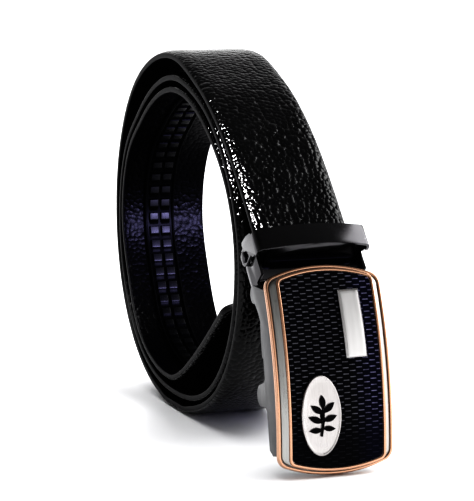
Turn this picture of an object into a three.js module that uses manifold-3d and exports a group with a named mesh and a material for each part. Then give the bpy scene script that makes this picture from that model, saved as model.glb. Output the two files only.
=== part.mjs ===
// A men's ratchet belt, rolled up three turns and standing on its edge. The strap leaves the roll
// over the top and comes down in front to a clamp, and the slide buckle hangs from the clamp's
// hinge with its foot on the ground. X runs across the strap, -Y is the front, +Z is up.
import * as THREE from 'three';
import { mergeVertices } from 'three/addons/utils/BufferGeometryUtils.js';
import Module from 'manifold-3d';

const wasm = await Module();
wasm.setup();

// General fits, in millimetres
const gap = 0.3;                     // between pieces that meet
const turnGap = 0.4;                 // between two turns of the strap that touch

// Strap
const strapWidth = 35;
const strapThickness = 3.15;
const strapShoulder = 0.9;           // rounding of the grain side's edges
const liningBevel = 0.35;            // rounding of the lining side's edges
const tipRadius = 5.5;               // plan corners of the free end
const cutRadius = 3.5;               // plan corners of the clamped end

// Roll: an ellipse that the turns follow, each sunk below it by the table of turns
const rollHalfLength = 76.8;
const rollHalfHeight = 69.9;
const stepsPerTurn = 32;
const firstStep = -4;                // of stepsPerTurn, before the top of the first turn
const lastStep = 79;

// How deep each stretch lies below the ellipse, in layers of the strap. Turn 0 is the top of the
// outermost turn, a quarter is the back, a half the ground, three quarters the front.
const turns = [
  { turn: -0.125, layers: 1.01 }, { turn: -0.0625, layers: 1.07 },
  { turn: 0, layers: 0.1 }, { turn: 0.0625, layers: -0.34 },
  { turn: 0.125, layers: -0.56 }, { turn: 0.1875, layers: -0.25 },
  { turn: 0.25, layers: 0 }, { turn: 0.375, layers: -0.34 },
  { turn: 0.5, layers: 0 }, { turn: 0.5625, layers: -0.2 },
  { turn: 0.625, layers: -0.62 }, { turn: 0.6875, layers: -0.45 },
  { turn: 0.75, layers: 0.31 }, { turn: 0.8125, layers: 1.49 },
  { turn: 0.875, layers: 2.11 }, { turn: 0.9375, layers: 2.45 },
  { turn: 1, layers: 2.34 }, { turn: 1.125, layers: 2.73 },
  { turn: 1.1875, layers: 1.6 }, { turn: 1.25, layers: 1.13 },
  { turn: 1.375, layers: 0.66 }, { turn: 1.5, layers: 1.34 },
  { turn: 1.625, layers: 0.42 }, { turn: 1.75, layers: 1.34 },
  { turn: 1.875, layers: 3.55 }, { turn: 2, layers: 3.62 },
  { turn: 2.125, layers: 3.9 }, { turn: 2.1875, layers: 2.64 },
  { turn: 2.25, layers: 2.17 }, { turn: 2.3125, layers: 2.5 },
  { turn: 2.375, layers: 1.72 }, { turn: 2.4375, layers: 2.14 },
  { turn: 2.5, layers: 2.85 },
];

// Free end: a nearly straight stretch that rises from the bottom of the innermost turn
const tipForward = 0.775;            // of rollHalfLength, in front of the roll's axis
const tipBelow = 0.29;               // of rollHalfHeight, under the roll's axis
const tipAngle = 37;                 // degrees above the horizontal
const tipLeave = 0.17;               // handles of the curve, of its chord
const tipArrive = 0.42;
const tipSteps = 9;

// Ratchet track on the lining of the free end
const trackStart = 25;               // from the free end
const trackLength = 240;
const trackWidth = 12.6;
const trackOffset = -2;              // from the strap's middle, to the left
const trackBase = 0.5;               // thickness of the strip between the rails
const railWidth = 0.9;
const railHeight = 1.1;
const toothPitch = 6.1;
const toothRow = 8.7;                // both columns of teeth with their groove
const toothGroove = 1.0;
const toothLow = 0.65;
const toothHigh = 1.3;
const toothCrest = 0.8;              // of the pitch, where the ramp ends

// Buckle face: an upright plate with bowed ends, curved forward along its height
const faceHeight = 63;               // corner to corner
const faceBow = 4.5;                 // rise of the bowed top and bottom
const faceCorner = 4.5;
const faceCurve = 130;               // radius of the forward curve
const faceSwell = 4.3;               // how far its crest stands before the face's rim
const faceCrest = -2;                // height of the crest, from the face's middle
const faceLean = 11.7;               // degrees from the vertical, foot forward
const faceStandOff = 39.5;           // from the roll's front to the face's middle
const plateThickness = 1.3;
const rimWidth = 0.95;               // of each of the two trims
const rimHeight = 0.9;
const bezelWidth = 3.3;              // raised strips at the left and right
const bezelRelief = 1.9;             // from the outer trim's base to the inner trim's base
const panelThickness = 0.6;
const barWidth = 7.7;
const barLength = 23.6;
const barThickness = 1.2;
const barTilt = 1;                   // degrees
const medallionWidth = 14.6;
const medallionHeight = 27.5;
const medallionThickness = 1.3;
const sprigHeight = 0.3;

// Buckle box behind the face
const wallDepth = 7;                 // side walls, behind the face's rim
const wallDepthTop = 8;              // above the step
const wallStep = 5;                  // above the face's middle
const hingeUp = 27.4;                // hinge axis, above the face's middle
const hingeBehind = 12.3;            // and behind the face's rim
const hingeEar = 3.2;                // radius
const pinRadius = 1.3;
const pawlDown = 7.5;                // pawl axis, under the face's middle
const pawlBehind = 11.8;
const pawlEar = 3.85;
const pawlPinRadius = 1.7;
const pawlPinRecess = 0.9;           // the pawl pin's ends lie inside their ears
const pawlPlate = 1.6;
const pawlWidth = 30;
const pawlReach = 10.5;              // from its axis up to the pawl's edge
const pawlTab = 16;                  // from its axis down to the tab's end
const pawlEdgeBehind = 3.9;          // pawl's edge, behind the face's rim

// Clamp, in its own frame: Y along the strap from the hinge, Z out through the strap's face
const clampLean = 42;                // degrees from the vertical
const clampWall = 1.05;
const channelClear = 1.1;            // beside the strap
const strapSeat = 5.1;               // lining, above the hinge axis
const strapEnd = 7.9;                // cut end, from the hinge axis
const baseStart = 3;                 // floor plate, along the strap
const baseEnd = 18.4;
const armBack = 3.2;                 // side arms, below the hinge axis
const rivetAlong = 14.9;
const rivetOut = 1.2;
const rivetRadius = 1.4;
const rivetHead = 2.1;
const rivetLobe = 3.3;
const mouth = 24;                    // where the strap leaves the clamp's line
const jawStart = 8.8;                // band, along the strap
const jawEnd = 17.1;
const jawTop = 8.9;                  // middle of the band, above the strap's face
const jawArch = 2.6;                 // rise of the band across its width
const jawCorner = 2.6;
const wingTail = 3.3;                // wing behind the band's upper edge
const lipThickness = 1.2;
const lipTooth = 0.8;
const lipPitch = 2.8;

// Derived sizes
const layer = strapThickness + turnGap;
const swellAt = up => faceSwell - (up - faceCrest) ** 2 / (2 * faceCurve);
const armInner = strapWidth / 2 + channelClear;
const armOuter = armInner + clampWall;
const wallInner = armOuter + gap;
const faceHalf = wallInner + clampWall;
const faceReach = rollHalfLength + faceStandOff;
const arcRadius = (faceHalf ** 2 + faceBow ** 2) / (2 * faceBow);
const apex = faceHeight / 2 + faceBow;
const plateFront = -rimHeight - gap;
const plateBack = plateFront - plateThickness;
const bezelTop = plateFront + bezelRelief + gap;
const strapFace = strapSeat + strapThickness;
const archRadius = (faceHalf ** 2 + jawArch ** 2) / (2 * jawArch);
const radians = THREE.MathUtils.degToRad;

const materials = {
  leather: new THREE.MeshStandardMaterial({ color: 0x0b0b0c, roughness: 0.34 }),
  track: new THREE.MeshStandardMaterial({ color: 0x17171c, roughness: 0.4 }),
  nickel: new THREE.MeshStandardMaterial({ color: 0x8f8f90, roughness: 0.38, metalness: 1 }),
  roseGold: new THREE.MeshStandardMaterial({ color: 0xc98a63, roughness: 0.22, metalness: 1 }),
  weave: new THREE.MeshStandardMaterial({ color: 0x101016, roughness: 0.42 }),
  silver: new THREE.MeshStandardMaterial({ color: 0xd9d7d4, roughness: 0.3, metalness: 1 }),
  enamel: new THREE.MeshStandardMaterial({ color: 0x0a0a0a, roughness: 0.3 }),
  gunmetal: new THREE.MeshStandardMaterial({ color: 0x26262a, roughness: 0.24, metalness: 1 }),
};

// A closed mesh from points and faces, turned so that its faces point out
function solid(points, faces) {
  let volume = 0;
  const cross = new THREE.Vector3();
  for (const [i, j, k] of faces) volume += points[i].dot(cross.crossVectors(points[j], points[k]));
  const geometry = new THREE.BufferGeometry();
  geometry.setAttribute('position', new THREE.Float32BufferAttribute(points.flatMap(p => p.toArray()), 3));
  geometry.setIndex(faces.flatMap(([i, j, k]) => (volume > 0 ? [i, j, k] : [i, k, j])));
  return geometry;
}

// A skin over rings of equally many points; it closes on itself or ends in two caps
function loft(rings, closed = false, capFaces = null) {
  const count = rings[0].length;
  const faces = [];
  const spans = closed ? rings.length : rings.length - 1;
  for (let r = 0; r < spans; r++) {
    const here = r * count;
    const next = ((r + 1) % rings.length) * count;
    for (let i = 0; i < count; i++) {
      const j = (i + 1) % count;
      faces.push([here + i, here + j, next + j], [here + i, next + j, next + i]);
    }
  }
  if (!closed) {
    const cap = capFaces ?? Array.from({ length: count - 2 }, (_, i) => [0, i + 1, i + 2]);
    const last = (rings.length - 1) * count;
    for (const [i, j, k] of cap) faces.push([i, k, j], [last + i, last + j, last + k]);
  }
  return solid(rings.flat(), faces);
}

// A flat outline of [across, up] points, made thick along Z from one height to another
function slab(outline, from, to, holes = []) {
  const shape = new THREE.Shape(outline.map(([x, y]) => new THREE.Vector2(x, y)));
  for (const hole of holes) shape.holes.push(new THREE.Path(hole.map(([x, y]) => new THREE.Vector2(x, y))));
  const geometry = new THREE.ExtrudeGeometry(shape, { depth: to - from, bevelEnabled: false, steps: 1 });
  return geometry.translate(0, 0, from);
}

// The same, for an outline of [along, out] points that is made thick across the strap
function crossSlab(outline, from, to, holes = []) {
  const turned = slab(outline, from, to, holes);
  return turned.applyMatrix4(new THREE.Matrix4().makeBasis(
    new THREE.Vector3(0, 1, 0), new THREE.Vector3(0, 0, 1), new THREE.Vector3(1, 0, 0)));
}

function circle(centre, radius, sides = 20) {
  return Array.from({ length: sides }, (_, i) => {
    const angle = (2 * Math.PI * (i + 0.5)) / sides;
    return [centre[0] + radius * Math.cos(angle), centre[1] + radius * Math.sin(angle)];
  });
}

function toManifold(geometry) {
  const bare = geometry.clone();
  bare.deleteAttribute('normal');
  bare.deleteAttribute('uv');
  const merged = mergeVertices(bare, 1e-4);
  return new wasm.Manifold(new wasm.Mesh({
    numProp: 3,
    vertProperties: new Float32Array(merged.attributes.position.array),
    triVerts: new Uint32Array(merged.index.array),
  }));
}

function fromManifold(body) {
  const mesh = body.getMesh();
  const geometry = new THREE.BufferGeometry();
  geometry.setAttribute('position', new THREE.BufferAttribute(new Float32Array(mesh.vertProperties), 3));
  geometry.setIndex(new THREE.BufferAttribute(new Uint32Array(mesh.triVerts), 1));
  return geometry;
}

function join(added, removed = []) {
  let body = toManifold(added[0]);
  for (const geometry of added.slice(1)) body = body.add(toManifold(geometry));
  for (const geometry of removed) body = body.subtract(toManifold(geometry));
  return fromManifold(body);
}

// The same body curved forward along the face's height
function curve(geometry) {
  return fromManifold(toManifold(geometry).refineToLength(9).warp(point => {
    point[2] += swellAt(point[1]);
  }));
}

function piece(name, geometry, material) {
  const mesh = new THREE.Mesh(geometry, material);
  mesh.name = name;
  return mesh;
}

// Smooth value of the table of turns at any turn
function layersAt(turn) {
  let i = turns.findIndex(row => row.turn > turn) - 1;
  if (i < 0) i = turns.length - 2;
  const slope = k => {
    const before = turns[Math.max(k - 1, 0)];
    const after = turns[Math.min(k + 1, turns.length - 1)];
    return (after.layers - before.layers) / (after.turn - before.turn);
  };
  const [a, b] = [turns[i], turns[i + 1]];
  const span = b.turn - a.turn;
  const t = (turn - a.turn) / span;
  return a.layers * (1 + 2 * t) * (1 - t) ** 2 + slope(i) * span * t * (1 - t) ** 2
    + b.layers * t * t * (3 - 2 * t) + slope(i + 1) * span * t * t * (t - 1);
}

// Middle line of the strap in the roll; the stretch on the ground is flat
function rollPoint(step) {
  const turn = (step + 0.5) / stepsPerTurn;
  const angle = 2 * Math.PI * turn;
  const radius = 1 / Math.hypot(Math.sin(angle) / rollHalfLength, Math.cos(angle) / rollHalfHeight)
    - layersAt(turn) * layer - strapThickness / 2;
  const point = new THREE.Vector2(radius * Math.sin(angle), rollHalfHeight + radius * Math.cos(angle));
  const rests = Math.abs(turn - 0.5) < 1 / stepsPerTurn;
  if (rests) point.y = strapThickness / 2;
  return { point, rests };
}

function bezier(start, leave, arrive, end, steps) {
  const curve = new THREE.CubicBezierCurve(start, leave, arrive, end);
  return curve.getSpacedPoints(steps);
}

// Places of the buckle and the clamp, as [Y, Z] of the belt
const leanCos = Math.cos(radians(faceLean));
const leanSin = Math.sin(radians(faceLean));
const faceMiddle = new THREE.Vector2(-faceReach, apex * leanCos - (plateBack + swellAt(-apex)) * leanSin);
const fromFace = (up, out) => new THREE.Vector2(
  faceMiddle.x + up * leanSin - out * leanCos, faceMiddle.y + up * leanCos + out * leanSin);
const hingePlace = fromFace(hingeUp, -hingeBehind);
const clampCos = Math.cos(radians(clampLean));
const clampSin = Math.sin(radians(clampLean));
const fromClamp = (along, out) => new THREE.Vector2(
  hingePlace.x + along * clampSin - out * clampCos, hingePlace.y + along * clampCos + out * clampSin);

// Stations of the strap from its cut end to its free end, each with its outward normal
function strapStations() {
  const middle = strapSeat + strapThickness / 2;
  const roll = [];
  for (let step = firstStep; step <= lastStep; step++) roll.push(rollPoint(step));
  const line = [];
  const cutMarks = [0, 0.3, 1].map(share => strapEnd + share * cutRadius);
  for (const along of cutMarks) line.push({ point: fromClamp(along, middle) });

  const rollStart = roll[0].point;
  const clampExit = fromClamp(mouth, middle);
  const reach = clampExit.distanceTo(rollStart) / 3;
  const rollHeading = roll[1].point.clone().sub(rollStart).normalize();
  const down = bezier(clampExit, clampExit.clone().add(new THREE.Vector2(clampSin, clampCos).multiplyScalar(reach)),
    rollStart.clone().addScaledVector(rollHeading, -reach), rollStart, 7);
  for (const point of down.slice(0, -1)) line.push({ point });
  line.push(...roll);

  const rollEnd = roll[roll.length - 1].point;
  const heading = rollEnd.clone().sub(roll[roll.length - 2].point).normalize();
  const tip = new THREE.Vector2(-tipForward * rollHalfLength, rollHalfHeight * (1 - tipBelow));
  const chord = tip.distanceTo(rollEnd);
  const tipHeading = new THREE.Vector2(-Math.cos(radians(tipAngle)), Math.sin(radians(tipAngle)));
  const up = bezier(rollEnd, rollEnd.clone().addScaledVector(heading, tipLeave * chord),
    tip.clone().addScaledVector(tipHeading, -tipArrive * chord), tip, tipSteps);
  for (const point of up.slice(1, -1)) line.push({ point });
  for (const share of [1, 0.6, 0.3, 0.1, 0]) {
    line.push({ point: tip.clone().addScaledVector(tipHeading, -share * tipRadius) });
  }
  for (let i = 0; i < line.length; i++) {
    const before = line[Math.max(i - 1, 0)].point;
    const after = line[Math.min(i + 1, line.length - 1)].point;
    const way = after.clone().sub(before).normalize();
    line[i].normal = line[i].rests ? new THREE.Vector2(0, -1) : new THREE.Vector2(-way.y, way.x);
    line[i].along = i ? line[i - 1].along + line[i].point.distanceTo(before) : 0;
  }
  return line;
}

// Leather strap with rounded grain shoulders, narrowed to round corners at both ends
function makeStrap(stations) {
  const length = stations[stations.length - 1].along;
  const half = strapThickness / 2;
  const rings = stations.map(({ point, normal, along }) => {
    const fromEnds = [{ left: along, radius: cutRadius }, { left: length - along, radius: tipRadius }];
    const narrowing = Math.max(...fromEnds.map(({ left, radius }) => {
      const short = Math.max(radius - left, 0);
      return radius - Math.sqrt(radius ** 2 - short ** 2);
    }));
    const w = strapWidth / 2 - narrowing;
    const turnIn = strapShoulder * 0.3;
    const profile = [
      [-w, liningBevel - half], [liningBevel - w, -half], [w - liningBevel, -half], [w, liningBevel - half],
      [w, half - strapShoulder], [w - turnIn, half - turnIn], [w - strapShoulder, half],
      [strapShoulder - w, half], [turnIn - w, half - turnIn], [-w, half - strapShoulder],
    ];
    return profile.map(([x, out]) => new THREE.Vector3(x, point.x + out * normal.x, point.y + out * normal.y));
  });
  return piece('strap', loft(rings), materials.leather);
}

// Place and unscaled normal at a length along the strap, on the straight line between stations
function stationAt(stations, along) {
  const i = Math.max(stations.findIndex(station => station.along > along), 1);
  const [a, b] = [stations[i - 1], stations[i]];
  const share = (along - a.along) / (b.along - a.along);
  return { point: a.point.clone().lerp(b.point, share), normal: a.normal.clone().lerp(b.normal, share) };
}

// Two columns of saw teeth between rails, on the lining; each ramp rises away from the free end
function makeTrack(stations) {
  const length = stations[stations.length - 1].along;
  const rail = trackWidth / 2;
  const row = toothRow / 2;
  const groove = toothGroove / 2;
  const count = Math.floor(trackLength / toothPitch);
  const rings = [];
  const addRing = (fromTip, tooth) => {
    const { point, normal } = stationAt(stations, length - fromTip);
    const profile = [
      [-rail, 0], [-rail, railHeight], [railWidth - rail, railHeight], [railWidth - rail, trackBase],
      [-row, trackBase], [-row, tooth], [-groove, tooth], [-groove, trackBase],
      [groove, trackBase], [groove, tooth], [row, tooth], [row, trackBase],
      [rail - railWidth, trackBase], [rail - railWidth, railHeight], [rail, railHeight], [rail, 0],
    ];
    rings.push(profile.map(([x, height]) => {
      const inward = -(strapThickness / 2 + gap + height);
      return new THREE.Vector3(x + trackOffset, point.x + inward * normal.x, point.y + inward * normal.y);
    }));
  };
  for (let tooth = 0; tooth < count; tooth++) {
    const start = trackStart + tooth * toothPitch;
    addRing(start, toothLow);
    addRing(start + toothCrest * toothPitch, toothHigh);
  }
  addRing(trackStart + count * toothPitch, toothLow);
  const bands = [[0, 1, 2, 3], [0, 3, 4, 7], [4, 5, 6, 7], [0, 7, 8, 15], [8, 9, 10, 11], [8, 11, 12, 15], [12, 13, 14, 15]];
  const capFaces = bands.flatMap(([a, b, c, d]) => [[a, b, c], [a, c, d]]);
  return piece('ratchet_track', loft(rings, false, capFaces), materials.track);
}

// Upper half of a bowed outline: a corner, the bow and the other corner
function bow(halfWidth, top, corner, radius) {
  const centre = top - radius;
  const filletX = halfWidth - corner;
  const filletY = centre + Math.sqrt((radius - corner) ** 2 - filletX ** 2);
  const start = Math.atan2(filletY - centre, filletX);
  const right = [];
  for (let i = 0; i <= 5; i++) {
    const angle = (start * i) / 5;
    right.push([filletX + corner * Math.cos(angle), filletY + corner * Math.sin(angle)]);
  }
  for (let i = 1; i < 5; i++) {
    const angle = start + ((Math.PI / 2 - start) * i) / 5;
    right.push([radius * Math.cos(angle), centre + radius * Math.sin(angle)]);
  }
  const left = right.map(([x, y]) => [-x, y]).reverse();
  return [...right, [0, top], ...left];
}

// Outline of the face at a half-width and a height of its bow, with rounded corners
function faceOutline(halfWidth, top, corner) {
  const upper = bow(halfWidth, top, corner, arcRadius);
  return [...upper, ...upper.map(([x, y]) => [-x, -y])];
}

// The same outline at two heights, drawn in between them
function taper(outlines, heights) {
  return loft(outlines.map((outline, i) => outline.map(([x, y]) => new THREE.Vector3(x, y, heights[i]))));
}

// Round rod along X
function rod(centre, radius, from, to, sides = 20) {
  return crossSlab(circle(centre, radius, sides), from, to);
}

// Sizes of the face from the outside in: the two trims with the sloping bezel between them
const outerTrimIn = { half: faceHalf - rimWidth, top: apex - rimWidth };
const bezelFoot = { half: outerTrimIn.half - gap, top: outerTrimIn.top - gap };
const bezelHead = { half: bezelFoot.half - bezelWidth + rimWidth + gap, top: bezelFoot.top };
const innerTrimIn = { half: bezelHead.half - rimWidth, top: bezelHead.top - rimWidth };
const panelOut = { half: innerTrimIn.half - gap, top: innerTrimIn.top - gap };
const barX = panelOut.half * 0.47;
const barY = panelOut.top * 0.453;
const medallionX = -panelOut.half * 0.39;
const medallionY = -panelOut.top * 0.465;

function makeFrame() {
  const plate = slab(faceOutline(faceHalf, apex, faceCorner), plateBack, plateFront);
  const bezel = taper([
    faceOutline(bezelFoot.half, bezelFoot.top, faceCorner - rimWidth),
    faceOutline(bezelFoot.half, bezelFoot.top, faceCorner - rimWidth),
    faceOutline(bezelHead.half, bezelHead.top, faceCorner - 2 * rimWidth),
  ], [plateFront - plateThickness / 2, plateFront + gap, bezelTop]);
  const wallEnd = faceHeight / 2 - faceCorner + 1.4;
  const arc = (centre, radius, angles) => angles.map(degrees =>
    [centre[0] + radius * Math.cos(radians(degrees)), centre[1] + radius * Math.sin(radians(degrees))]);
  const hinge = [hingeUp, -hingeBehind];
  const pawl = [-pawlDown, -pawlBehind];
  const front = Array.from({ length: 11 }, (_, i) => wallEnd * (1 - i / 5))
    .map(up => [up, plateFront - plateThickness / 2 + swellAt(up)]);
  const wall = [
    ...front,
    [-wallEnd, -wallDepth * 0.6], [-wallEnd * 0.93, -wallDepth],
    [-pawlDown - pawlEar * 1.45, -wallDepth], [-pawlDown - pawlEar * 1.12, -wallDepth - pawlEar * 0.35],
    ...arc(pawl, pawlEar, [180, 210, 240, 270, 300, 330, 360]),
    [pawlEar * 1.12 - pawlDown, -wallDepth - pawlEar * 0.35], [pawlEar * 1.45 - pawlDown, -wallDepth],
    [wallStep, -wallDepth], [wallStep + 0.6, -wallDepthTop], [hingeUp * 0.42, -wallDepthTop],
    [hingeUp * 0.66, -wallDepthTop * 0.95], [hingeUp * 0.76, -wallDepthTop * 1.12],
    ...arc(hinge, hingeEar, [170, 200, 230, 260, 290, 320, 350, 20]),
  ];
  const holes = [circle(hinge, pinRadius + gap, 16), circle(pawl, pawlPinRadius + gap, 16)];
  const right = crossSlab(wall, wallInner, faceHalf, holes);
  const left = crossSlab(wall, -faceHalf, -wallInner, holes);
  return piece('buckle_frame', join([curve(plate), curve(bezel), right, left]), materials.nickel);
}

function makeTrim(name, outer, inner, corner, from) {
  const ring = slab(faceOutline(outer.half, outer.top, corner), from, from + rimHeight,
    [faceOutline(inner.half, inner.top, corner - rimWidth)]);
  return piece(name, curve(ring), materials.roseGold);
}

function makePanel() {
  const corner = faceCorner - 3 * rimWidth;
  return piece('face_panel', curve(slab(faceOutline(panelOut.half, panelOut.top, corner),
    bezelTop + gap, bezelTop + gap + panelThickness)), materials.weave);
}

// Plain bar with bevelled edges, at the upper right of the panel
function makeBar(base) {
  const bevel = barThickness * 0.6;
  const box = (inset, height) => [[1, 1], [-1, 1], [-1, -1], [1, -1]].map(([x, y]) =>
    new THREE.Vector3(x * (barWidth / 2 - inset), y * (barLength / 2 - inset), height));
  const rings = [box(0, base), box(0, base + barThickness - bevel), box(bevel, base + barThickness)];
  const bar = loft(rings).rotateZ(radians(barTilt)).translate(barX, barY, 0);
  return piece('face_bar', curve(bar), materials.silver);
}

function oval(width, height, at, sides = 36) {
  return Array.from({ length: sides }, (_, i) => {
    const angle = (2 * Math.PI * i) / sides;
    return new THREE.Vector3(width / 2 * Math.cos(angle), height / 2 * Math.sin(angle), at);
  });
}

// Oval plate with a low raised edge
function makeMedallion(base) {
  const edge = 0.9;
  const rings = [
    oval(medallionWidth, medallionHeight, base),
    oval(medallionWidth, medallionHeight, base + medallionThickness * 0.75),
    oval(medallionWidth - edge, medallionHeight - edge, base + medallionThickness),
    oval(medallionWidth - 2 * edge, medallionHeight - 2 * edge, base + medallionThickness * 0.8),
  ];
  return piece('medallion', curve(loft(rings).translate(medallionX, medallionY, 0)), materials.silver);
}

// Sprig of pointed leaves on a curved stem, flat on the medallion
function makeSprig(base) {
  const leaf = (x, y, length, degrees) => {
    const outline = [];
    for (let i = 0; i <= 8; i++) outline.push([length * i / 8, Math.sin(Math.PI * i / 8) * length * 0.2]);
    for (let i = 7; i > 0; i--) outline.push([length * i / 8, -Math.sin(Math.PI * i / 8) * length * 0.2]);
    return slab(outline, base, base + sprigHeight).rotateZ(radians(degrees)).translate(x, y, 0);
  };
  const stem = slab([[-0.7, -7], [0, -7.1], [0.8, -2], [0.9, 3], [0.2, 3.2], [0, -2]], base, base + sprigHeight);
  const leaves = [
    { x: 0.5, y: 2, length: 5, degrees: 95 }, { x: 0.6, y: 0.8, length: 5.2, degrees: 42 },
    { x: 0.4, y: 0.4, length: 5.4, degrees: 143 }, { x: 0.4, y: -2, length: 5.2, degrees: 20 },
    { x: 0.3, y: -2.4, length: 5.6, degrees: 158 }, { x: 0.1, y: -4.4, length: 4.6, degrees: -4 },
    { x: 0.1, y: -4.8, length: 4.8, degrees: 184 },
  ].map(({ x, y, length, degrees }) => leaf(x, y, length, degrees));
  const sprig = join([stem, ...leaves]).translate(medallionX, medallionY, 0);
  return piece('ornament', curve(sprig), materials.enamel);
}

// Sprung lever behind the face: its upper edge drops between the teeth, its tab is pressed
function makeLever() {
  const barrel = pawlPinRadius + gap + 1.3;
  const edge = pawlReach - pawlDown;
  const tabFront = 1.9 - pawlBehind;
  const outline = [
    [edge, -pawlEdgeBehind], [edge - 1.4, -pawlEdgeBehind], [2.2 - pawlDown, barrel * 0.9 - pawlBehind],
    [-pawlDown - 3, tabFront], [-pawlDown - pawlTab, tabFront],
    [-pawlDown - pawlTab, tabFront - pawlPlate], [-pawlDown - 3, tabFront - pawlPlate - 1],
    [2.4 - pawlDown, -pawlBehind - barrel * 0.75], [edge, -pawlEdgeBehind - pawlPlate],
  ];
  const plate = crossSlab(outline, -pawlWidth / 2, pawlWidth / 2);
  const tube = rod([-pawlDown, -pawlBehind], barrel, -pawlWidth / 2, pawlWidth / 2);
  const bore = rod([-pawlDown, -pawlBehind], pawlPinRadius + gap, -pawlWidth, pawlWidth);
  return piece('pawl_lever', join([plate, tube], [bore]), materials.nickel);
}

function makeBuckle() {
  const buckle = new THREE.Group();
  const onPanel = bezelTop + gap + panelThickness + gap;
  const pawlPin = rod([-pawlDown, -pawlBehind], pawlPinRadius, pawlPinRecess - faceHalf, faceHalf - pawlPinRecess);
  buckle.add(
    makeFrame(),
    makeTrim('outer_trim', { half: faceHalf, top: apex }, outerTrimIn, faceCorner, -rimHeight),
    makeTrim('inner_trim', bezelHead, innerTrimIn, faceCorner - 2 * rimWidth, bezelTop + gap),
    makePanel(),
    makeBar(onPanel),
    makeMedallion(onPanel),
    makeSprig(onPanel + medallionThickness * 0.8 + gap),
    makeLever(),
    piece('pawl_pin', pawlPin, materials.nickel),
  );
  buckle.rotation.x = Math.PI / 2 - radians(faceLean);
  buckle.position.set(0, faceMiddle.x, faceMiddle.y);
  return buckle;
}

// Folded base of the clamp: a floor behind the strap and two arms that end in hinge eyes
function makeClampBase() {
  const eye = hingeEar;
  const arm = [
    [baseStart, strapFace], [baseStart, eye * 0.9],
    ...[80, 110, 140, 170, 200, 230, 260].map(degrees => [eye * Math.cos(radians(degrees)), eye * Math.sin(radians(degrees))]),
    [baseStart, -eye], [rivetAlong * 0.78, -armBack], [rivetAlong + 0.8, -armBack * 0.8],
    [rivetAlong + rivetLobe, rivetOut], [baseEnd, strapSeat], [baseEnd - 1, strapFace],
  ];
  const holes = [circle([0, 0], pinRadius + gap, 16), circle([rivetAlong, rivetOut], rivetRadius + gap, 16)];
  const right = crossSlab(arm, armInner, armOuter, holes);
  const left = crossSlab(arm, -armOuter, -armInner, holes);
  const floorTop = strapSeat - gap;
  const floor = crossSlab([
    [baseStart, floorTop - clampWall], [baseEnd, floorTop - clampWall], [baseEnd, floorTop],
    [baseStart, floorTop]], -armOuter, armOuter);
  return piece('clamp_base', join([floor, right, left]), materials.gunmetal);
}

// Jaw that swings about two rivets: arched band, two wings, and a toothed lip on the strap
function makeJaw() {
  const acrossAndOut = geometry => geometry.applyMatrix4(new THREE.Matrix4().makeBasis(
    new THREE.Vector3(1, 0, 0), new THREE.Vector3(0, 0, 1), new THREE.Vector3(0, -1, 0)));
  const top = strapFace + jawTop;
  const side = top - jawArch - jawCorner;
  const outer = bow(faceHalf, top, jawCorner, archRadius);
  const inner = bow(wallInner, top - clampWall, jawCorner - clampWall, archRadius - clampWall);
  const band = acrossAndOut(slab([
    [faceHalf, side - 1], ...outer, [-faceHalf, side - 1], [-wallInner, side - 1], ...inner.reverse(),
    [wallInner, side - 1]], -jawEnd, -jawStart));

  const lipHalf = strapWidth / 2 - 0.5;
  const teeth = Math.round((2 * lipHalf) / lipPitch);
  const lipOutline = [];
  for (let i = 0; i <= teeth; i++) {
    const x = -lipHalf + (2 * lipHalf * i) / teeth;
    lipOutline.push([x, strapFace + gap + lipTooth]);
    if (i < teeth) lipOutline.push([x + lipHalf / teeth, strapFace + gap]);
  }
  const underArch = bow(faceHalf, top - clampWall / 2, jawCorner, archRadius).filter(([x]) => Math.abs(x) < lipHalf);
  const lip = acrossAndOut(slab([...lipOutline, ...underArch], -jawStart - lipThickness, -jawStart));

  const lobe = [195, 225, 255, 285, 315, 345].map(degrees =>
    [rivetAlong + rivetLobe * Math.cos(radians(degrees)), rivetOut + rivetLobe * Math.sin(radians(degrees))]);
  const wing = [
    [jawStart, side], [jawStart + 0.7, side - 1.2], [jawStart + 1.6, strapFace - 0.2], [jawStart + 3, strapFace - 1.2],
    ...lobe, [jawEnd + 1.2, rivetOut + 0.6], [jawEnd + 2.6, rivetOut + 0.4], [jawEnd + wingTail, rivetOut + 1.2],
    [jawEnd + 2.7, strapSeat + 2], [jawEnd + 1.3, side - 1], [jawEnd, side],
  ];
  const hole = [circle([rivetAlong, rivetOut], rivetRadius + gap, 16)];
  const right = crossSlab(wing, wallInner, faceHalf, hole);
  const left = crossSlab(wing, -faceHalf, -wallInner, hole);
  return piece('clamp_jaw', join([band, lip, right, left]), materials.gunmetal);
}

// Rivet through one wing and one arm, with a low head outside and inside
function makeRivet(name, side) {
  const inner = armInner - gap;
  const outer = faceHalf + gap;
  const stations = [
    { x: inner - 0.6, radius: rivetRadius * 1.3 }, { x: inner, radius: rivetRadius * 1.3 },
    { x: inner, radius: rivetRadius }, { x: outer, radius: rivetRadius },
    { x: outer, radius: rivetHead }, { x: outer + 0.3, radius: rivetHead }, { x: outer + 0.6, radius: rivetHead * 0.6 },
  ];
  const rings = stations.map(({ x, radius }) => circle([rivetAlong, rivetOut], radius, 16).map(([along, out]) =>
    new THREE.Vector3(side * x, along, out)));
  return piece(name, loft(rings), materials.gunmetal);
}

function makeClamp() {
  const clamp = new THREE.Group();
  const hingePin = rod([0, 0], pinRadius, 0.2 - faceHalf, faceHalf - 0.2, 16);
  clamp.add(makeClampBase(), makeJaw(), makeRivet('jaw_rivet_left', -1), makeRivet('jaw_rivet_right', 1),
    piece('hinge_pin', hingePin, materials.nickel));
  clamp.rotation.x = Math.PI / 2 - radians(clampLean);
  clamp.position.set(0, hingePlace.x, hingePlace.y);
  return clamp;
}

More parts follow.
